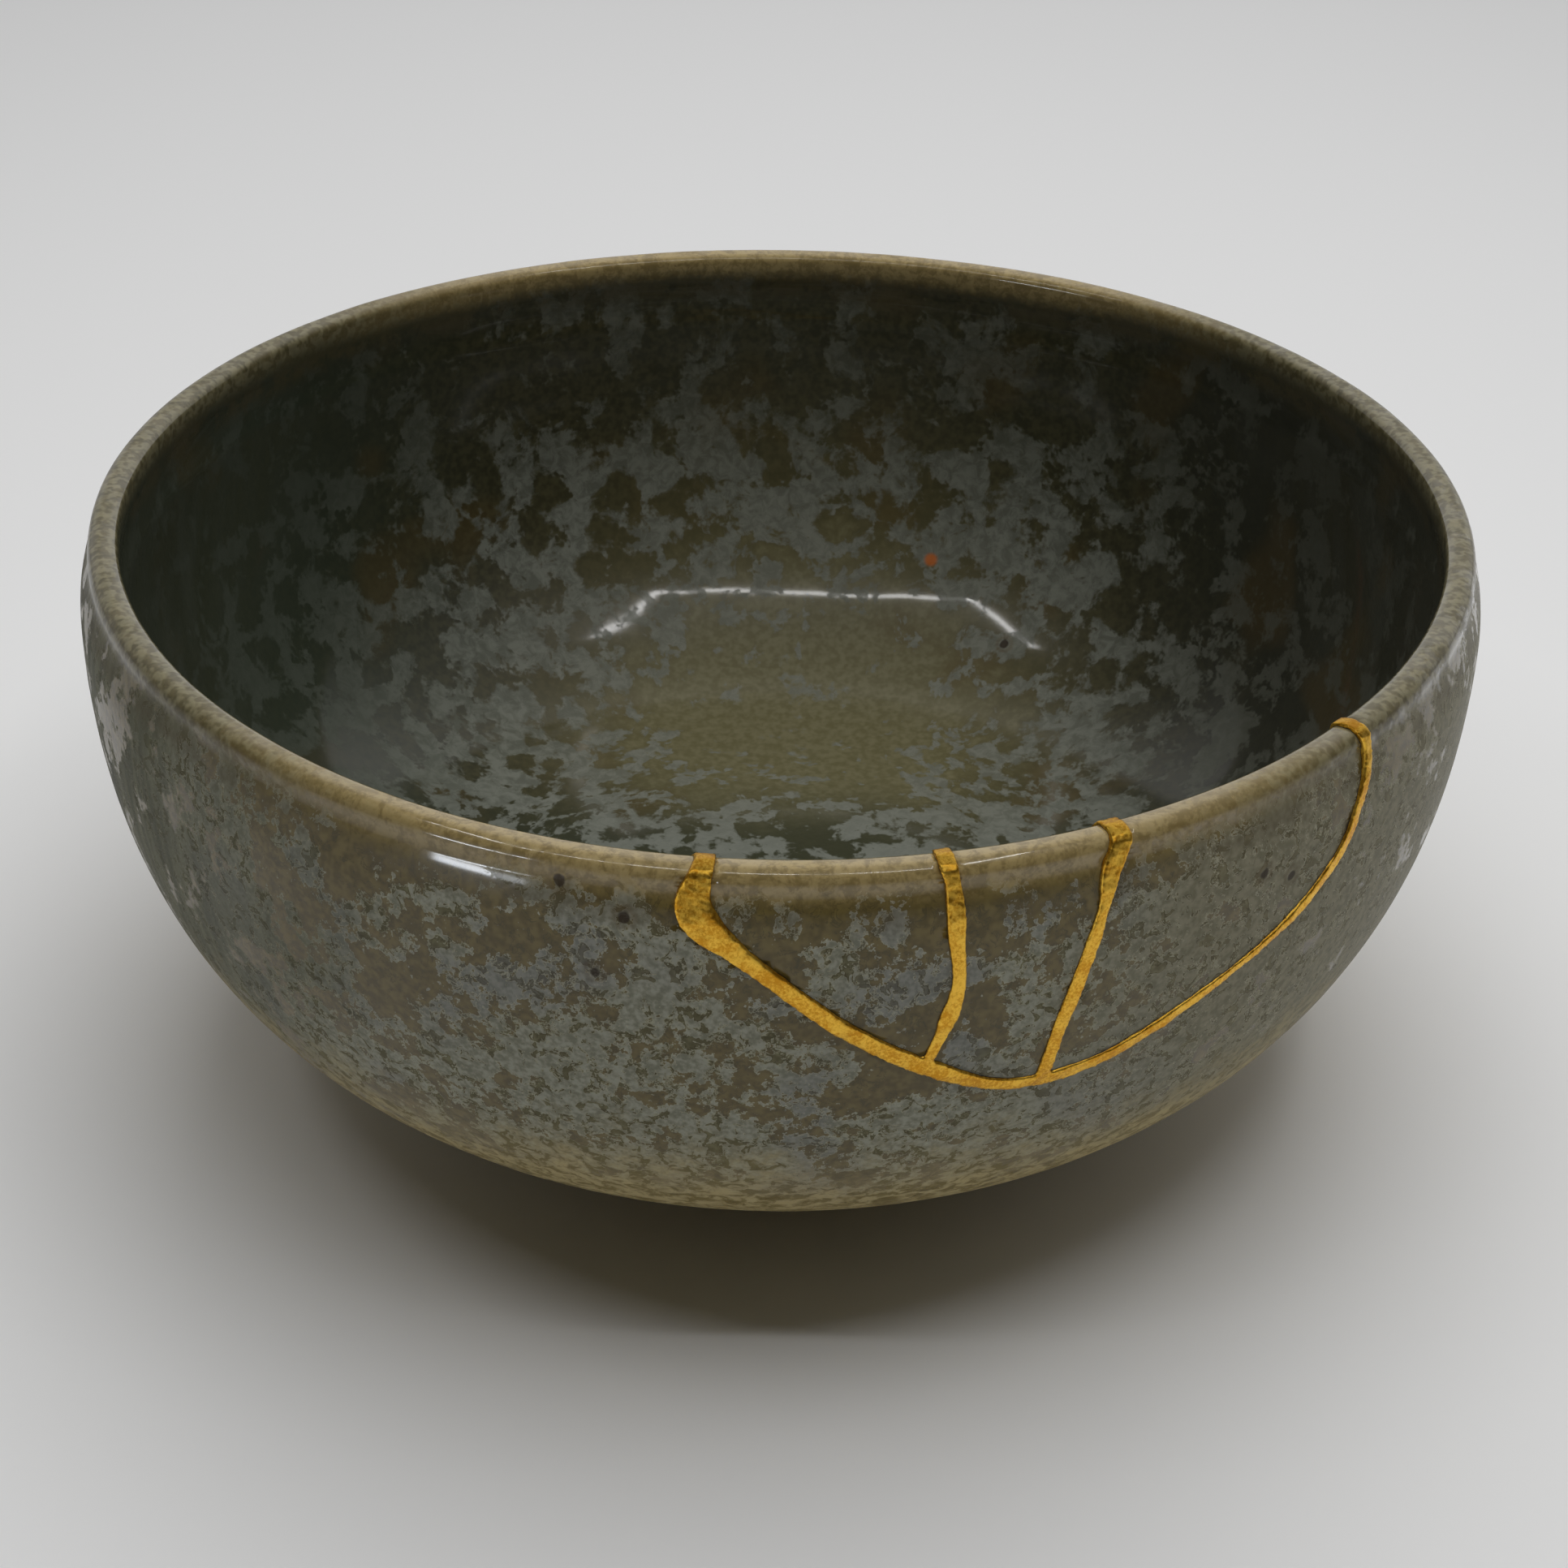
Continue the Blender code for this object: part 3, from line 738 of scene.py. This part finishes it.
# %% Put the paint on and seat the pieces
for node_name, piece in clay.items():
    piece.data.materials.clear()
    piece.data.materials.append(glaze.owner)
    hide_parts(node_name)
    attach(piece, "root")
gold.data.materials.clear()
gold.data.materials.append(leaf.owner)
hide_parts("gold_seam")
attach(gold, "root")
print("pieces seated:", len(clay) + 1)

# %% [markdown]
# ## Floor and light
#
# The bowl stands on a pale seamless sheet, in a white box with strips of light along the front and side edges of
# its roof. The gleam inside the bowl shows those strips as one bent line. A low window at the left front leaves the
# short gleam below the lip. A broad lamp between the strips, kept out of reflections, gives the soft shadow.

# %% The sheet
SHEET_RADIUS = 3.0

bpy.ops.object.select_all(action="DESELECT")
bpy.ops.mesh.primitive_circle_add(vertices=96, radius=SHEET_RADIUS, fill_type="NGON", location=(0.0, 0.0, 0.0))
sheet = bpy.context.view_layer.objects.active
sheet.name = "pale_sheet"
sheet_paint = Paint(bpy.data.materials.new("pale_sheet"))
sheet_paint.set(Base_Color=rgb(240, 240, 240), Roughness=0.9, Specular_IOR_Level=0.1)
sheet.data.materials.append(sheet_paint.owner)
print("sheet laid")

# %% The lamps
ROOF_HEIGHT = 0.611
ROOF_FRONT = -0.285
ROOF_BACK = 0.56
ROOF_LEFT = -0.335
ROOF_RIGHT = 0.225
STRIP_BACK = -0.03
STRIP_WIDTH = 0.018
ROOF_LIGHT_ACROSS = 0.05
WINDOW_COLOUR = (0.86, 0.92, 1.0)


def lamp(name, place, aim, size, power, colour=(1.0, 1.0, 1.0)):
    """An area lamp at a place in metres, aimed at a point, with its width and height."""
    data = bpy.data.lights.new(name, "AREA")
    data.shape = "RECTANGLE"
    data.size, data.size_y = size
    data.energy = power
    data.color = colour
    made = bpy.data.objects.new(name, data)
    bpy.context.scene.collection.objects.link(made)
    turn = (Vector(aim) - Vector(place)).to_track_quat("-Z", "Y").to_matrix().to_4x4()
    made.matrix_world = Matrix.Translation(Vector(place)) @ turn
    return made


across_middle = (ROOF_LEFT + ROOF_RIGHT) / 2
strip_middle = (STRIP_BACK + ROOF_FRONT) / 2
roof_middle = (ROOF_BACK + ROOF_FRONT) / 2
lamp("front_strip", (across_middle, ROOF_FRONT, ROOF_HEIGHT), (across_middle, ROOF_FRONT + 0.1, 0.0),
     (ROOF_RIGHT - ROOF_LEFT, STRIP_WIDTH), 0.46)
for name, side in (("left_strip", ROOF_LEFT), ("right_strip", ROOF_RIGHT)):
    lamp(name, (side, strip_middle, ROOF_HEIGHT), (side * 0.7, strip_middle, 0.0),
         (STRIP_BACK - ROOF_FRONT, STRIP_WIDTH), 0.22)
roof_size = (ROOF_RIGHT - ROOF_LEFT, ROOF_BACK - ROOF_FRONT)
roof_light = lamp("roof_light", (ROOF_LIGHT_ACROSS, roof_middle, ROOF_HEIGHT), (ROOF_LIGHT_ACROSS, roof_middle, 0.0),
                  roof_size, 2.75)
roof_light.visible_glossy = False
window = lamp("window_lamp", (-0.64, -0.68, 0.08), (-0.03, -0.07, 0.06), (0.24, 0.045), 0.62, WINDOW_COLOUR)
window.visible_diffuse = False

# %% [markdown]
# The back wall and the right half of the box glow softly, and the open front, where the camera stands, stays dark.
# The opening reaches up to the front strip, so the bright line in the glaze runs along its edge.

# %% The white box
room = Paint(bpy.data.worlds.new("white_box"), "Background")
bpy.context.scene.world = room.owner
across, back, up = room.parts(room.node("ShaderNodeTexCoord", output="Generated"))
above_strip = room.rise(back + up * 0.466, -0.10, 0.05)
beside = room.rise(across.math("ABSOLUTE") + back * 1.1, -0.10, 0.25)
closed = above_strip.math("MAXIMUM", beside)
from_right = room.rise(up, 0.2, 0.9) * room.rise(across, 0.0, 0.8) * 0.25
from_behind = room.rise(back, 0.1, 0.8) * 0.62
room.set(Color=(1.0, 1.0, 1.0, 1.0), Strength=closed * (from_right + from_behind) + 0.008)
bpy.context.scene.view_settings.view_transform = "Standard"
print("white box set")
